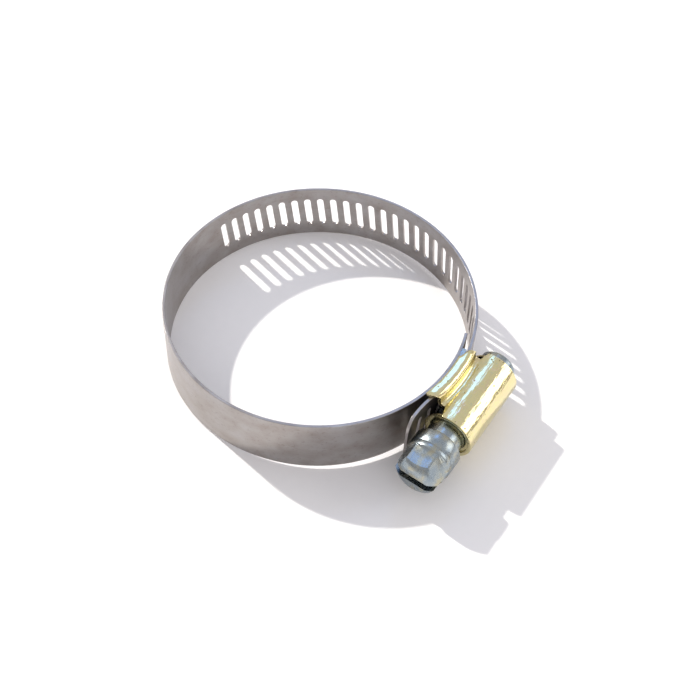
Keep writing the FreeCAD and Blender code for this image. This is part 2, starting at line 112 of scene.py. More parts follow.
def make_floor():
    bm = bmesh.new()
    bmesh.ops.create_grid(bm, x_segments=8, y_segments=8, size=FLOOR_SIZE / 2)
    # the part leans: it rests on the housing's lower flange and on the strip's far edge
    far = INNER_LAYER + STRIP_THICK / 2
    lean = math.atan2(FLANGE_TOP - STRIP_HALF, far + NECK_RADIUS)
    floor = add_object("floor", bm)
    floor.rotation_euler = (lean, 0, 0)
    floor.location = Vector((0, far, -STRIP_HALF - FLOOR_GAP)) * MM
    floor.data.materials.append(floor_material())


def area_light(name, toward, distance, size, power, colour):
    """A square lamp, out of the camera's sight, that shines at the part from a direction."""
    data = bpy.data.lights.new(name, "AREA")
    data.size, data.energy, data.color = size, power, colour
    lamp = bpy.data.objects.new(name, data)
    direction = Vector(toward).normalized()
    lamp.location = direction * distance
    lamp.rotation_mode = "QUATERNION"
    lamp.rotation_quaternion = direction.to_track_quat("Z", "Y")
    lamp.visible_camera = False
    bpy.context.scene.collection.objects.link(lamp)
    return lamp


def make_lights():
    world = bpy.data.worlds.new("studio")
    world.use_nodes = True
    bpy.context.scene.world = world
    nodes, links = world.node_tree.nodes, world.node_tree.links
    background = nodes["Background"]
    background.inputs["Strength"].default_value = 1.15
    # a pale room: warm near the horizon and cooler overhead
    coordinate = nodes.new("ShaderNodeTexCoord")
    split = nodes.new("ShaderNodeSeparateXYZ")
    links.new(coordinate.outputs["Generated"], split.inputs[0])
    ramp = nodes.new("ShaderNodeValToRGB")
    links.new(split.outputs["Z"], ramp.inputs["Fac"])
    set_ramp(ramp, [(0.0, (0.42, 0.39, 0.38)), (0.25, (0.50, 0.47, 0.46)),
                    (0.6, (0.58, 0.57, 0.60)), (1.0, (0.60, 0.62, 0.68))])
    links.new(ramp.outputs["Color"], background.inputs["Color"])
    key = bpy.data.lights.new("key", "SUN")
    key.energy, key.angle, key.color = 3.4, math.radians(1.6), (1.0, 0.97, 0.92)
    lamp = bpy.data.objects.new("key", key)
    lamp.rotation_mode = "QUATERNION"
    lamp.rotation_quaternion = Vector((0.137, 0.787, 0.602)).to_track_quat("Z", "Y")
    bpy.context.scene.collection.objects.link(lamp)
    area_light("sky_patch", (0.557, 0.23, 0.798), 0.9, 0.2, 0.32, (0.16, 0.42, 1.0))
    area_light("side_panel", (0.53, -0.74, 0.42), 0.9, 0.40, 1.3, (1.0, 0.99, 0.96))
    area_light("front_panel", (-0.45, -0.85, 0.35), 1.0, 0.5, 1.3, (1.0, 0.98, 0.94))


# ---------------------------------------------------------------- small helpers
def add_object(name, bm):
    """A new object with bm's mesh, which is in metres, shaded smooth."""
    mesh = bpy.data.meshes.new(name)
    bm.to_mesh(mesh)
    bm.free()
    mesh.shade_smooth()
    obj = bpy.data.objects.new(name, mesh)
    bpy.context.scene.collection.objects.link(obj)
    return obj


def set_ramp(node, stops):
    ramp = node.color_ramp
    while len(ramp.elements) < len(stops):
        ramp.elements.new(1.0)
    for element, (position, colour) in zip(ramp.elements, stops):
        element.position = position
        element.color = (*colour, 1.0)


class Shader:
    """A material with one Principled shader, and short ways to add nodes to it."""

    def __init__(self, name):
        self.material = bpy.data.materials.new(name)
        self.material.use_nodes = True
        self.nodes = self.material.node_tree.nodes
        self.links = self.material.node_tree.links
        self.shader = self.nodes["Principled BSDF"]

    def set(self, **values):
        for name, value in values.items():
            self.shader.inputs[name.replace("_", " ")].default_value = value

    def link(self, output, name):
        self.links.new(output, self.shader.inputs[name])

    def object_coordinates(self, scale=(1, 1, 1)):
        """Object coordinates in millimetres, stretched by scale."""
        coordinate = self.nodes.new("ShaderNodeTexCoord")
        return self.scaled(coordinate.outputs["Object"], scale)

    def strip_coordinates(self, scale=(1, 1, 1)):
        """Distance along the strip, across it, and through it, in millimetres."""
        attribute = self.nodes.new("ShaderNodeAttribute")
        attribute.attribute_name = "strip"
        return self.scaled(attribute.outputs["Vector"], scale)

    def scaled(self, vector, scale):
        mapping = self.nodes.new("ShaderNodeMapping")
        mapping.inputs["Scale"].default_value = [s / MM for s in scale]
        self.links.new(vector, mapping.inputs["Vector"])
        return mapping.outputs["Vector"]

    def noise(self, vector, scale, detail=3.0, roughness=0.55):
        noise = self.nodes.new("ShaderNodeTexNoise")
        noise.inputs["Scale"].default_value = scale
        noise.inputs["Detail"].default_value = detail
        noise.inputs["Roughness"].default_value = roughness
        self.links.new(vector, noise.inputs["Vector"])
        return noise.outputs["Fac"]

    def spots(self, vector, scale):
        """Distance to the nearest of a scatter of points."""
        cells = self.nodes.new("ShaderNodeTexVoronoi")
        cells.inputs["Scale"].default_value = scale
        self.links.new(vector, cells.inputs["Vector"])
        return cells.outputs["Distance"]

    def ramp(self, value, stops):
        node = self.nodes.new("ShaderNodeValToRGB")
        set_ramp(node, stops)
        self.links.new(value, node.inputs["Fac"])
        return node.outputs["Color"]

    def range(self, value, low, high, to_low, to_high):
        node = self.nodes.new("ShaderNodeMapRange")
        for name, number in (("From Min", low), ("From Max", high),
                             ("To Min", to_low), ("To Max", to_high)):
            node.inputs[name].default_value = number
        self.links.new(value, node.inputs["Value"])
        return node.outputs["Result"]

    def mix(self, kind, factor, first, second):
        node = self.nodes.new("ShaderNodeMix")
        node.data_type, node.blend_type = "RGBA", kind
        for socket, value in (("Factor", factor), ("A", first), ("B", second)):
            found = [s for s in node.inputs if s.name == socket and s.enabled][0]
            if hasattr(value, "links"):
                self.links.new(value, found)
            elif isinstance(value, tuple):
                found.default_value = (*value, 1.0)
            else:
                found.default_value = value
        return [s for s in node.outputs if s.enabled][0]

    def bump(self, height, distance, strength=1.0, under=None):
        """A bump of distance millimetres; under is a coarser bump that it lies on."""
        node = self.nodes.new("ShaderNodeBump")
        node.inputs["Distance"].default_value = distance * MM
        node.inputs["Strength"].default_value = strength
        self.links.new(height, node.inputs["Height"])
        if under is not None:
            self.links.new(under, node.inputs["Normal"])
        return node.outputs["Normal"]


# ---------------------------------------------------------------- materials
def floor_material():
    s = Shader("floor")
    paper = s.noise(s.object_coordinates(), 0.6, detail=4.0)
    s.link(s.ramp(paper, [(0.0, (0.93, 0.91, 0.90)), (1.0, (0.96, 0.94, 0.93))]), "Base Color")
    s.set(Roughness=0.85)
    s.link(s.bump(paper, 0.02), "Normal")
    return s.material


def strip_material():
    """Satin stainless strip: rolling lines along it, faint stains, and a few scuffs."""
    s = Shader("satin_stainless")
    along = s.noise(s.strip_coordinates((0.03, 5.0, 5.0)), 1.6, detail=5.0, roughness=0.6)
    fine = s.noise(s.strip_coordinates((0.12, 22.0, 22.0)), 1.0, detail=2.0)
    stain = s.noise(s.strip_coordinates((0.22, 0.3, 0.3)), 1.0, detail=4.0)
    speck = s.noise(s.strip_coordinates((1.6, 2.2, 2.2)), 1.0, detail=3.0)
    tint = s.ramp(stain, [(0.30, (0.34, 0.306, 0.285)), (0.52, (0.40, 0.374, 0.361)),
                          (0.72, (0.442, 0.425, 0.425))])
    lines = s.ramp(along, [(0.25, (0.66, 0.64, 0.62)), (0.75, (1.0, 1.0, 1.0))])
    specks = s.ramp(speck, [(0.28, (0.62, 0.58, 0.55)), (0.42, (1.0, 1.0, 1.0))])
    specked = s.mix("MULTIPLY", 0.5, s.mix("MULTIPLY", 0.35, tint, lines), specks)
    s.link(specked, "Base Color")
    s.set(Metallic=1.0)
    s.link(s.range(s.mix("MIX", 0.5, along, stain), 0.3, 0.7, 0.27, 0.40), "Roughness")
    s.link(s.bump(fine, 0.004, under=s.bump(along, 0.01)), "Normal")
    return s.material


def yellow_zinc_material():
    """Bright zinc with a pale yellow passivation, mottled, with small pits."""
    s = Shader("yellow_zinc")
    cloud = s.noise(s.object_coordinates((0.5, 0.7, 0.7)), 1.0, detail=4.0)
    blotch = s.noise(s.object_coordinates((1.0, 1.3, 1.3)), 1.1, detail=5.0, roughness=0.65)
    ripple = s.noise(s.object_coordinates((0.25, 0.9, 0.9)), 1.0, detail=2.0)
    pits = s.spots(s.object_coordinates(), 0.75)
    base = s.ramp(cloud, [(0.30, (0.74, 0.68, 0.40)), (0.50, (0.78, 0.70, 0.37)),
                          (0.66, (0.76, 0.64, 0.38)), (0.80, (0.70, 0.71, 0.52))])
    patched = s.mix("MIX", s.range(blotch, 0.54, 0.66, 0.0, 0.45), base, (0.84, 0.66, 0.52))
    greened = s.mix("MIX", s.range(blotch, 0.44, 0.34, 0.0, 0.5), patched, (0.60, 0.63, 0.44))
    pitted = s.mix("MULTIPLY", s.range(pits, 0.07, 0.13, 0.75, 0.0), greened, (0.30, 0.28, 0.18))
    s.link(pitted, "Base Color")
    s.set(Metallic=1.0)
    s.link(s.range(blotch, 0.3, 0.7, 0.10, 0.18), "Roughness")
    dents = s.bump(s.range(pits, 0.05, 0.16, 0.0, 1.0), 0.03, under=s.bump(ripple, 0.10))
    s.link(s.bump(blotch, 0.02, under=dents), "Normal")
    return s.material


def blue_zinc_material():
    """Blue-grey zinc, with a straw tint where the plating is thicker."""
    s = Shader("blue_zinc")
    cloud = s.noise(s.object_coordinates((0.45, 0.6, 0.6)), 1.0, detail=3.0)
    grain = s.noise(s.object_coordinates((4.0, 4.0, 4.0)), 1.0, detail=3.0)
    turned = s.noise(s.object_coordinates((9.0, 0.8, 0.8)), 1.0, detail=2.0)
    base = s.ramp(cloud, [(0.32, (0.26, 0.31, 0.35)), (0.50, (0.33, 0.37, 0.38)),
                          (0.68, (0.43, 0.41, 0.31)), (0.82, (0.37, 0.39, 0.36))])
    worn = s.mix("MULTIPLY", 0.3, base, s.ramp(grain, [(0.3, (0.8, 0.8, 0.8)), (0.6, (1.0, 1.0, 1.0))]))
    s.link(worn, "Base Color")
    s.set(Metallic=1.0)
    s.link(s.range(grain, 0.3, 0.7, 0.20, 0.36), "Roughness")
    s.link(s.bump(grain, 0.003, under=s.bump(turned, 0.006)), "Normal")
    return s.material


# ---------------------------------------------------------------- the strip
class StripPath:
    """The middle line of the strip, as arcs, with distance along it from under the worm.

    Distance grows anticlockwise, towards the fixed end's tongue; the tail is negative.
    """

    def __init__(self):
        hinge = {j["name"]: Vector(j["pos_m"][:2]) / MM for j in frame["joints"]}
        outer = [hinge["band_bend_%d" % n] for n in (5, 4, 3)]
        self.arcs = []
        centre = Vector((0.0, 0.0))
        angle = -90.0
        start = 0.0
        radius = OUTER_LAYER
        last = math.degrees(math.atan2(outer[0].y, outer[0].x))
        for number in range(3):
            if number:
                # the next arc touches the last one at its hinge, and its end lies at the next hinge
                middle = centre + radius * unit(angle)
                centre, radius = touching_arc(middle, angle, outer[number])
                end = outer[number] - centre
                last = math.degrees(math.atan2(end.y, end.x))
            sweep = (last - angle) % 360
            self.arcs.append((start, centre.copy(), radius, angle))
            start += math.radians(sweep) * radius
            angle += sweep
        self.arcs.append((start, Vector((0.0, 0.0)), INNER_LAYER, angle))
        self.tongue = start + math.radians(TONGUE_ANGLE - angle) * INNER_LAYER

    def at(self, distance):
        """(point, outward normal, direction of growing distance) on the middle line."""
        if distance < TAIL_START:
            angle = -90.0 + math.degrees(TAIL_START / OUTER_LAYER)
            out = unit(angle)
            centre = out * (OUTER_LAYER + TAIL_RADIUS)
            turned = angle + 180 + math.degrees((TAIL_START - distance) / TAIL_RADIUS)
            normal = -unit(turned)
            return centre - normal * TAIL_RADIUS, normal, Vector((-normal.y, normal.x))
        start, centre, radius, angle = [a for a in self.arcs if a[0] <= max(distance, 0.0)][-1]
        normal = unit(angle + math.degrees((distance - start) / radius))
        return centre + normal * radius, normal, Vector((-normal.y, normal.x))


def unit(degrees):
    return Vector((math.cos(math.radians(degrees)), math.sin(math.radians(degrees))))


def touching_arc(point, angle, hinge):
    """Centre and radius of a middle line through point, whose inner face reaches hinge.

    The line crosses the direction angle squarely at point.
    """
    normal = unit(angle)
    # |hinge - centre| = radius - half the thickness, with centre = point - radius * normal
    half = STRIP_THICK / 2
    offset = hinge - point
    radius = (half * half - offset.length_squared) / (2 * (half + offset.dot(normal)))
    return point - radius * normal, radius


ROWS = (-1.0, -0.70, -0.467, 0.0, 0.467, 0.70, 1.0)     # shares of the flat half width
HOLE_POINTS = 20


def slot_ring(grow):
    """Outline of a slot, grown: (along, across, outward along, outward across)."""
    radius, half = SLOT_WIDTH / 2 + grow, (SLOT_LENGTH - SLOT_WIDTH) / 2
    axis = Vector((math.sin(SLOT_SLANT), math.cos(SLOT_SLANT)))
    side = Vector((axis.y, -axis.x))
    ring = []
    for turn in (1, -1):
        ring += [(axis * (turn * at) + side * (turn * radius), side * turn) for at in (-half, 0, half)]
        for step in range(1, 8):
            angle = math.pi * step / 8
            out = (side * math.cos(angle) + axis * math.sin(angle)) * turn
            ring.append((axis * (turn * half) + out * radius, out))
    return ring


def button_ring(grow):
    """Outline of a round hole for a clinch button, grown."""
    radius = BUTTON_RADIUS + BUTTON_GAP + grow
    angles = []
    for middle in (0, 180):
        angles += [middle - 40, middle, middle + 40]
        angles += [middle + 40 + 12.5 * step for step in range(1, 8)]
    return [(unit(a) * radius, unit(a)) for a in angles]


def cell_ring(half, flat_half):
    """The points of a cell's rectangle that match a hole's outline one to one."""
    rows = [r * flat_half for r in ROWS]
    right = [(half, z) for z in rows[2:5]]
    top = [(half, rows[5])] + [(half * s, rows[6]) for s in (1, 0.5, 0, -0.5, -1)] + [(-half, rows[5])]
    return [Vector(p) for p in right + top] + [Vector((-x, -z)) for x, z in right + top]


class StripPiece:
    """A stretch of the strip as a closed mesh, with rounded edges and exact normals."""

    def __init__(self, path):
        self.path = path
        self.flat_half = STRIP_HALF - EDGE
        self.vertices, self.normals, self.places = [], [], []
        self.index, self.faces, self.face_normals = {}, [], []
        self.border = set()

    def vertex(self, s, z, side, out=None):
        """A vertex on the outer (side 1) or inner (-1) face, or on an edge that faces out."""
        key = (round(s, 4), round(z, 4), side, out is not None)
        if key not in self.index:
            middle, normal, along = self.path.at(s)
            depth = STRIP_THICK / 2 - (EDGE if out is not None else 0)
            place = middle + normal * (side * depth)
            self.index[key] = len(self.vertices)
            self.vertices.append(Vector((place.x, place.y, z)) * MM)
            if out is None:
                self.normals.append(Vector((normal.x, normal.y, 0)) * side)
            else:
                self.normals.append(Vector((along.x * out[0], along.y * out[0], out[1])))
            self.places.append((s * MM, z * MM, side * STRIP_THICK / 2 * MM))
        return self.index[key]

    def face(self, corners, normal=None):
        unique = [c for i, c in enumerate(corners) if c != corners[i - 1]]
        if len(set(unique)) > 2:
            self.faces.append(unique)
            self.face_normals.append(normal)

    def flats(self, points):
        """The two flat faces over one polygon, given anticlockwise as (along, across)."""
        self.face([self.vertex(s, z, 1) for s, z in points])
        self.face([self.vertex(s, z, -1) for s, z in reversed(points)])

    def wall(self, chain):
        """The rounded edge along a chain of (flat point, edge point, outward), strip on the left."""
        for (flat_a, edge_a, out_a), (flat_b, edge_b, out_b) in zip(chain, chain[1:]):
            corners = {side: [self.vertex(*flat_a, side), self.vertex(*edge_a, side, out_a),
                              self.vertex(*edge_b, side, out_b), self.vertex(*flat_b, side)]
                       for side in (1, -1)}
            self.face(corners[1])
            self.face(corners[-1][::-1])
            self.face([corners[1][1], corners[-1][1], corners[-1][2], corners[1][2]])

    def plain(self, low, high, step=1.2):
        count = max(1, math.ceil((high - low) / step))
        stations = [low + (high - low) * i / count for i in range(count + 1)]
        self.border.update(stations)
        for a, b in zip(stations, stations[1:]):
            for z, top in zip(ROWS, ROWS[1:]):
                z, top = z * self.flat_half, top * self.flat_half
                self.flats([(a, z), (b, z), (b, top), (a, top)])

    def hole(self, middle, half, ring):
        """A cell with a hole in it."""
        rim, edge = ring(EDGE), ring(0.0)
        frame_points = cell_ring(half, self.flat_half)
        self.border.update(middle + p.x for p in frame_points if abs(p.y) > self.flat_half - EDGE / 2)
        shift = Vector((middle, 0))
        for i in range(HOLE_POINTS):
            j = (i + 1) % HOLE_POINTS
            self.flats([tuple(rim[i][0] + shift), tuple(frame_points[i] + shift),
                        tuple(frame_points[j] + shift), tuple(rim[j][0] + shift)])
        chain = [(tuple(rim[i][0] + shift), tuple(edge[i][0] + shift), tuple(-edge[i][1]))
                 for i in range(HOLE_POINTS)]
        self.wall((chain + chain[:1])[::-1])

    def tip(self, start):
        """The tail's end, with rounded corners.

        Returns the chain of its edge, and the distance at which the full width begins.
        """
        columns, edges = [], []
        for step in range(7):
            out = unit(90 * step / 6)
            core = STRIP_HALF - TAIL_CORNER
            columns.append((start + TAIL_CORNER_LONG - (TAIL_CORNER_LONG - EDGE) * out.x,
                            core + (TAIL_CORNER - EDGE) * out.y))
            edges.append((start + TAIL_CORNER_LONG * (1 - out.x), core + TAIL_CORNER * out.y, out))
        for (s, half), (s_next, half_next) in zip(columns, columns[1:]):
            for z, top in zip(ROWS, ROWS[1:]):
                self.flats([(s, z * half), (s_next, z * half_next),
                            (s_next, top * half_next), (s, top * half)])
        upper = [((c[0], c[1]), (e[0], e[1]), (-e[2].x, e[2].y)) for c, e in zip(columns, edges)]
        lower = [((c[0], -c[1]), (e[0], -e[1]), (-e[2].x, -e[2].y)) for c, e in zip(columns, edges)]
        end_half, edge_half = columns[0][1], edges[0][1]
        middle = [((columns[0][0], r * end_half), (start, r * edge_half), (-1.0, 0.0))
                  for r in ROWS[-2:0:-1]]
        return upper[::-1] + middle + lower, start + TAIL_CORNER_LONG

    def close(self, low, high, tip_chain=None, tongue=False):
        """Adds the long edges and the ends; an end that meets the next piece is a flat cap."""
        h, flat = STRIP_HALF, self.flat_half
        stations = sorted(self.border)
        bottom = [((s, -flat), (s, -h), (0.0, -1.0)) for s in stations]
        top = [((s, flat), (s, h), (0.0, 1.0)) for s in reversed(stations)]
        if tongue:
            end = [((high - EDGE, r * flat), (high, r * flat), (1.0, 0.0)) for r in ROWS]
            self.wall(bottom + end + top)
        else:
            self.wall(bottom)
            self.wall(top)
            self.cap(high, 1)
        if tip_chain:
            self.wall(tip_chain)
        else:
            self.cap(low, -1)

    def cap(self, s, direction):
        across = [(-STRIP_HALF, (0.0, -1.0))] + [(r * self.flat_half, None) for r in ROWS]
        across.append((STRIP_HALF, (0.0, 1.0)))
        if direction < 0:
            across.reverse()
        along = self.path.at(s)[2] * direction
        for (z_a, out_a), (z_b, out_b) in zip(across, across[1:]):
            self.face([self.vertex(s, z_a, 1, out_a), self.vertex(s, z_a, -1, out_a),
                       self.vertex(s, z_b, -1, out_b), self.vertex(s, z_b, 1, out_b)],
                      Vector((along.x, along.y, 0)))

    def build(self, name, material):
        mesh = bpy.data.meshes.new(name)
        mesh.from_pydata(self.vertices, [], self.faces)
        mesh.shade_smooth()
        place = mesh.attributes.new("strip", "FLOAT_VECTOR", "POINT")
        place.data.foreach_set("vector", [c for p in self.places for c in p])
        loop_normals = []
        for face, normal in zip(self.faces, self.face_normals):
            loop_normals += [(normal or self.normals[v]).normalized() for v in face]
        mesh.normals_split_custom_set(loop_normals)
        mesh.materials.append(material)
        obj = bpy.data.objects.new(name, mesh)
        bpy.context.scene.collection.objects.link(obj)
        return obj


def strip_piece(path, name, low, high, material, slots=(), buttons=(), tip=False, tongue=False):
    """One stretch of strip between two distances, with the holes that lie in it."""
    piece = StripPiece(path)
    holes = [(k * PITCH, PITCH / 2, slot_ring) for k in slots]
    holes += [(s, BUTTON_RADIUS + BUTTON_LAND, button_ring) for s in buttons]
    chain, at = piece.tip(low) if tip else (None, low)
    for middle, half, ring in sorted(holes, key=lambda hole: hole[0]):
        if middle - half > at + EDGE:
            piece.plain(at, middle - half)
        piece.hole(middle, half, ring)
        at = middle + half
    end = high - EDGE if tongue else high
    if end > at + EDGE:
        piece.plain(at, end)
    piece.close(low, high, chain, tongue)
    return piece.build(name, material)


def make_strip():
    """The whole strip: two ends and four spans, laid along arcs whose inner faces reach the CAD model's
    hinges.
    """
    path = StripPath()
    material = strip_material()
    seams = [s * PITCH for s in SEAMS]
    bottom = path.tongue - math.radians(TONGUE_ANGLE - HOUSING_ANGLE) * INNER_LAYER
    reach = math.radians(BUTTON_ANGLE) * INNER_LAYER
    fixed = strip_piece(path, "strip_fixed_end", seams[0], path.tongue, material,
                        buttons=(bottom - reach, bottom + reach), tongue=True)
    spans = [fixed]
    for number, (high, low) in enumerate(zip(seams, seams[1:]), start=1):
        slots = [k for k in range(SLOTS) if low < k * PITCH < high]
        spans.append(strip_piece(path, "strip_span_%d" % number, low, high, material, slots=slots))
    nodes = ["band_fixed_end", "band_span_1", "band_span_2", "band_span_3", "band_span_4"]
    for number, obj in enumerate(spans):
        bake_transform(obj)
        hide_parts(nodes[number])
    tail = strip_piece(path, "strip_free_end", TAIL_START - TAIL_LENGTH, seams[4], material,
                       slots=range(-4, 4), tip=True)
    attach(tail, "band_free_end")
    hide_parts("band_free_end")


# ---------------------------------------------------------------- lofted pieces
def loft(bm, rings, closed_ends=True):
    """Faces between rings of points, each ring closed; returns the rings of vertices."""
    made = [[bm.verts.new(p * MM) for p in ring] for ring in rings]
    for ring, following in zip(made, made[1:]):
        for i in range(len(ring)):
            j = (i + 1) % len(ring)
            bm.faces.new((ring[i], ring[j], following[j], following[i]))
    if closed_ends:
        bm.faces.new(made[0][::-1])
        bm.faces.new(made[-1])
    return made


def lathe(bm, profile, steps=72, closed_ends=True):
    """A turned piece about the screw's axis from (x, radius) pairs."""
    rings = []
    for x, radius in profile:
        rings.append([screw_point(x, radius, 360 * i / steps) for i in range(steps)])
    return loft(bm, rings, closed_ends)


def screw_point(x, radius, degrees):
    """A point at an angle about the screw's axis: 0 is away from the bore and 90 is up."""
    out = unit(degrees)
    return Vector((x, SCREW_AXIS - radius * out.x, radius * out.y))


def tube(bm, profile, steps=72):
    """A turned ring: the profile of (x, radius) pairs is itself closed."""
    made = lathe(bm, profile, steps, closed_ends=False)
    first, last = made[0], made[-1]
    for i in range(steps):
        j = (i + 1) % steps
        bm.faces.new((last[i], last[j], first[j], first[i]))


def finish_metal(obj, body, node, material, sharp=35.0, bevel=None):
    """Sharp edges by angle, an optional rounding of them, a material, and its place in the part."""
    obj.data.materials.append(material)
    if bevel:
        rounding = obj.modifiers.new("rounding", "BEVEL")
        rounding.width, rounding.segments = bevel * MM, 3
        rounding.limit_method, rounding.angle_limit = "ANGLE", math.radians(sharp)
        rounding.harden_normals = True
        rounding.miter_outer = "MITER_ARC"
    else:
        obj.data.set_sharp_from_angle(angle=math.radians(sharp))
    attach(obj, body)
    if node:
        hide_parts(node)


# ---------------------------------------------------------------- the housing
BARREL_HALF = 8.7
EYE_RADIUS = 3.68           # of the holes in the barrel's end walls
FLANGE_BEND = 1.25          # outer radius where the flange turns down into the neck
VALLEY = 0.75               # outer radius where the neck meets the barrel
RIM = 0.14                  # rounding of the sheet's edges
EDGE_ROUND = 0.38           # rounding of the flanges' inner edges
WALL_RECESS = 0.45          # how far the walls at the barrel's ends stand back
NECK_ENDS = (-6.3, 6.9)     # where the necks stop along X
FLANGE_ENDS = (-7.2, 5.6)   # where the flanges' outer corners are
FLANGE_SLANT = (-0.1, -2.0)     # how far the inner corners are from the outer ones


def neck_y(radius, x):
    return -math.sqrt(radius * radius - x * x)


def half_section(x, offset, edge):
    """The sheet's line from the flange's inner edge to the barrel's outermost line, at one x.

    offset is how far inside the outer surface the line runs, and edge is 1 for the outer line
    and -1 for the inner one.  Each point comes with a share, which is 0 on the flange, 1 in
    the valley by the neck and 2 on the barrel, and with how near it is to the inner edge.
    """
    wall = neck_y(NECK_RADIUS, x)
    inner = neck_y(FLANGE_INNER, x)
    height = FLANGE_TOP - offset
    start = wall + FLANGE_BEND
    turn = FLANGE_BEND - offset
    flat = inner - EDGE_ROUND
    points = []
    for step in range(4):
        out = unit(90 * step / 4)
        drawn = EDGE_ROUND - (offset if edge > 0 else SHEET - offset)
        points.append((flat + drawn * out.x, height + edge * drawn * (out.y - 1), 0.0, 1.0))
    for step in range(5):
        points.append((flat + (start - flat) * step / 5, height, 0.0, 1 - step / 5))
    for step in range(7):
        out = unit(90 + 90 * step / 6)
        points.append((start + turn * out.x, FLANGE_TOP - FLANGE_BEND + turn * out.y,
                       0.9 * step / 6, 0.0))
    # the valley's arc touches the neck's wall and the barrel
    middle_y = wall - VALLEY
    middle_z = math.sqrt((BARREL_RADIUS + VALLEY) ** 2 - (middle_y - SCREW_AXIS) ** 2)
    touch = math.degrees(math.atan2(middle_z, middle_y - SCREW_AXIS))
    for step in range(8):
        out = unit(-(180 - touch) * step / 7)
        points.append((middle_y + (VALLEY + offset) * out.x, middle_z + (VALLEY + offset) * out.y,
                       0.9 + 0.2 * step / 7, 0.0))
    for step in range(1, 19):
        out = unit(touch + (180 - touch) * step / 18)
        points.append((SCREW_AXIS + (BARREL_RADIUS - offset) * out.x,
                       (BARREL_RADIUS - offset) * out.y, 1.1 + 0.9 * step / 18, 0.0))
    return points


def sheet_end(share, side):
    """Where the sheet stops along X, for a share of the way from the flange to the barrel."""
    outer, neck = FLANGE_ENDS[side], NECK_ENDS[side]
    barrel = BARREL_HALF * (-1, 1)[side]
    if share <= 0:
        return outer
    if share < 0.9:
        return outer + (neck - outer) * share / 0.9
    if share <= 1.1:
        return neck
    return neck + (barrel - neck) * min(1.0, (share - 1.1) / 0.1)


def sheet_line(along, depth, edge, plan):
    """One line of the sheet, from one flange's inner edge round the barrel to the other's.

    along runs from 0 at the head's end to 1 at the tip's, and depth is how far the line is
    drawn in from the surface, where the sheet's own edge is rounded.
    """
    offset = depth if edge > 0 else SHEET - depth
    line = []
    for k, (_, _, share, inward) in enumerate(plan):
        low = sheet_end(share, 0) + FLANGE_SLANT[0] * inward + RIM - depth_shift(depth)
        high = sheet_end(share, 1) + FLANGE_SLANT[1] * inward - RIM + depth_shift(depth)
        x = low + (high - low) * along
        y, z, _, _ = half_section(x, offset, edge)[k]
        line.append(Vector((x, y, z)))
    return line + [Vector((p.x, p.y, -p.z)) for p in line[-2::-1]]


def depth_shift(depth):
    """How far along X the rounded edge has gone where it is depth deep."""
    return math.sqrt(max(RIM ** 2 - (RIM - depth) ** 2, 0.0)) if depth else 0.0


def make_housing(material):
    """One bent sheet: flanges and necks that follow the ring, and a straight barrel with end walls."""
    bm = bmesh.new()
    plan = half_section(0.0, 0.0, 1)
    rounding = [RIM, RIM * 0.3, 0.0]
    stations = [(0.0, d) for d in rounding] + [(i / 14, 0.0) for i in range(1, 14)]
    stations += [(1.0, d) for d in rounding[::-1]]
    rings = []
    for along, depth in stations:
        outer = sheet_line(along, depth, 1, plan)
        inner = sheet_line(along, depth, -1, plan)
        rings.append(outer + inner[::-1])
    made = loft(bm, rings, closed_ends=False)
    count = len(made[0])
    for ring, flipped in ((made[0], False), (made[-1], True)):
        for i in range(count // 2 - 1):
            corners = [ring[i], ring[i + 1], ring[count - 2 - i], ring[count - 1 - i]]
            bm.faces.new(corners if flipped else corners[::-1])
    outside = BARREL_RADIUS - SHEET / 2
    for side in (-1, 1):
        near, far = BARREL_HALF - WALL_RECESS, BARREL_HALF - SHEET
        profile = [(near, outside), (near, EYE_RADIUS + 0.25), (near - 0.07, EYE_RADIUS + 0.06),
                   (near - 0.2, EYE_RADIUS), (far, EYE_RADIUS), (far, outside)]
        tube(bm, [(side * x, r) for x, r in profile], steps=96)
    bmesh.ops.recalc_face_normals(bm, faces=bm.faces)
    obj = add_object("housing_shell", bm)
    finish_metal(obj, "housing", "housing", material, sharp=50.0)
    weighted = obj.modifiers.new("weighted", "WEIGHTED_NORMAL")
    weighted.keep_sharp = True


# ---------------------------------------------------------------- the screw
HEAD_ANGLE = 4.0
HEX_FLATS = 7.94
COLLAR_RADIUS = 4.6
HEAD_END = -20.3
HEAD_FACE = 2.9             # radius of the flat on the end of the head
CHAMFER_SLOPE = 0.78        # along X for each millimetre of radius
COLLAR_START = -15.5
COLLAR_END = -11.3
JOURNAL = 3.6
TIP_END = 11.1
TIP_ROUND = 0.5
WORM_ROOT = 2.95
WORM_CREST = 4.1
THREAD_TURNS = 4.5
DRIVER_SLOT_WIDTH = 1.8
DRIVER_SLOT_DEPTH = 2.4


def hexagon_radius(degrees):
    """Distance from the axis to the head's flats, with corners at 0, 60 and so on."""
    from_flat = (degrees - HEAD_ANGLE) % 60 - 30
    return min(HEX_FLATS / 2 / math.cos(math.radians(from_flat)), 4.53)


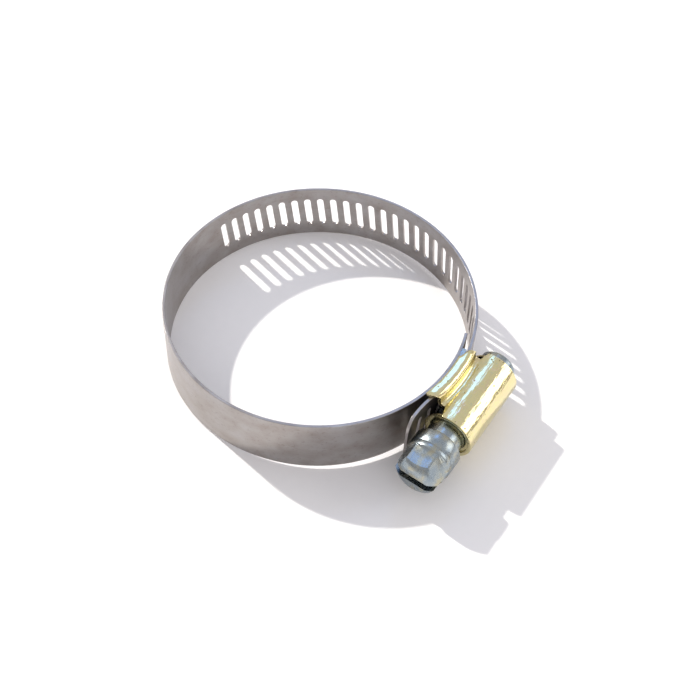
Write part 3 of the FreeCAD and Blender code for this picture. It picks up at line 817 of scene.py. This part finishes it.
def head_rings(steps):
    """The end face, the arched chamfers, the flats, and the arches that run out to the collar."""
    angles = [360 * i / steps for i in range(steps)]
    rings = [[screw_point(HEAD_END, HEAD_FACE - 0.12, a) for a in angles]]
    for share in (0.0, 0.2, 0.4, 0.6, 0.8, 1.0):
        ring = []
        for a in angles:
            rise = (hexagon_radius(a) - HEAD_FACE) * share
            bulge = 0.16 * math.sin(math.pi * share)
            x = HEAD_END + 0.05 + rise * CHAMFER_SLOPE
            ring.append(screw_point(x, HEAD_FACE + rise + bulge, a))
        rings.append(ring)
    for share in (0.5, 1.0):
        ring = []
        for a in angles:
            radius = hexagon_radius(a)
            first = HEAD_END + 0.05 + (radius - HEAD_FACE) * CHAMFER_SLOPE
            last = COLLAR_START - (COLLAR_RADIUS - radius) * 1.15
            ring.append(screw_point(first + (last - first) * share, radius, a))
        rings.append(ring)
    for share in (0.35, 0.7, 1.0):
        ring = []
        for a in angles:
            rise = (COLLAR_RADIUS - 0.05 - hexagon_radius(a)) * (1 - share)
            hollow = 0.5 * rise * share
            radius = COLLAR_RADIUS - 0.05 - rise - hollow
            ring.append(screw_point(COLLAR_START - rise * 1.15, radius, a))
        rings.append(ring)
    return rings


def make_screw(material):
    """Hexagon head with a driver slot, collar, journals, worm and rounded tip."""
    bm = bmesh.new()
    steps = 120
    rings = head_rings(steps)
    inside = BARREL_HALF - SHEET - 0.2
    disc = inside - 0.7
    body = [(COLLAR_START + 0.12, COLLAR_RADIUS), (COLLAR_START + 1.0, COLLAR_RADIUS),
            (COLLAR_START + 1.15, COLLAR_RADIUS - 0.07), (COLLAR_START + 1.3, COLLAR_RADIUS),
            (COLLAR_END - 0.35, COLLAR_RADIUS), (COLLAR_END - 0.1, COLLAR_RADIUS - 0.1),
            (COLLAR_END, COLLAR_RADIUS - 0.35), (COLLAR_END, JOURNAL + 0.15),
            (COLLAR_END + 0.15, JOURNAL), (-inside - 0.05, JOURNAL), (-inside, WORM_CREST - 0.1),
            (-inside + 0.1, WORM_CREST), (-disc - 0.1, WORM_CREST), (-disc, WORM_CREST - 0.1),
            (-disc + 0.1, WORM_ROOT), (disc - 0.1, WORM_ROOT), (disc, WORM_CREST - 0.1),
            (disc + 0.1, WORM_CREST), (inside - 0.1, WORM_CREST), (inside, WORM_CREST - 0.1),
            (inside + 0.05, JOURNAL), (TIP_END - TIP_ROUND, JOURNAL)]
    body += [(TIP_END + TIP_ROUND * (unit(90 - a).x - 1), JOURNAL + TIP_ROUND * (unit(90 - a).y - 1))
             for a in (18, 36, 54, 72, 90)]
    rings += [[screw_point(x, r, 360 * i / steps) for i in range(steps)] for x, r in body]
    loft(bm, rings)
    obj = add_object("screw_blank", bm)
    cut_driver_slot(obj)
    obj.name = "screw_body"
    finish_metal(obj, "screw", "screw", material, sharp=28.0, bevel=0.05)
    thread = make_thread()
    finish_metal(thread, "screw", None, material, sharp=40.0, bevel=0.08)


def cut_driver_slot(obj):
    bm = bmesh.new()
    bmesh.ops.create_cube(bm, size=1.0)
    size = Vector((2 * DRIVER_SLOT_DEPTH, 20.0, DRIVER_SLOT_WIDTH))
    bmesh.ops.scale(bm, vec=size * MM, verts=bm.verts)
    turn = Matrix.Rotation(math.radians(HEAD_ANGLE), 4, "X")
    place = Matrix.Translation(Vector((HEAD_END, SCREW_AXIS, 0)) * MM)
    bmesh.ops.transform(bm, matrix=place @ turn, verts=bm.verts)
    cutter = add_object("driver_slot", bm)
    cut = obj.modifiers.new("slot", "BOOLEAN")
    cut.object, cut.operation, cut.solver = cutter, "DIFFERENCE", "EXACT"
    bpy.context.view_layer.objects.active = obj
    bpy.ops.object.modifier_apply(modifier=cut.name)
    bpy.data.objects.remove(cutter)


def make_thread():
    """A right-hand ridge wound on the worm's root, sunk a little into it, with run-out ends."""
    bm = bmesh.new()
    per_turn = 60
    count = int(THREAD_TURNS * per_turn)
    rings = []
    for i in range(count + 1):
        turns = i / per_turn - THREAD_TURNS / 2
        fade = min(1.0, i / 8, (count - i) / 8)
        crest = WORM_ROOT + (WORM_CREST - WORM_ROOT) * max(fade, 0.05)
        section = [(-0.62, WORM_ROOT - 0.2), (0.62, WORM_ROOT - 0.2), (0.5, WORM_ROOT),
                   (0.22, crest), (-0.22, crest), (-0.5, WORM_ROOT)]
        # a crest faces the strip, at 180 degrees, half way along
        rings.append([screw_point(turns * PITCH + x, r, 180 - 360 * turns) for x, r in section])
    loft(bm, rings)
    bmesh.ops.recalc_face_normals(bm, faces=bm.faces)
    return add_object("screw_thread", bm)


def dress_saddle(material):
    """The CAD model's own saddle, which lies between the strip's layers."""
    saddle = frame["nodes"]["saddle"]
    saddle.data.materials.clear()
    saddle.data.materials.append(material)


# ---------------------------------------------------------------- the whole part
make_camera()
make_floor()
make_lights()
make_strip()
yellow_zinc = yellow_zinc_material()
blue_zinc = blue_zinc_material()
make_housing(yellow_zinc)
dress_saddle(blue_zinc)
make_screw(blue_zinc)
bpy.context.scene.view_settings.view_transform = "Standard"
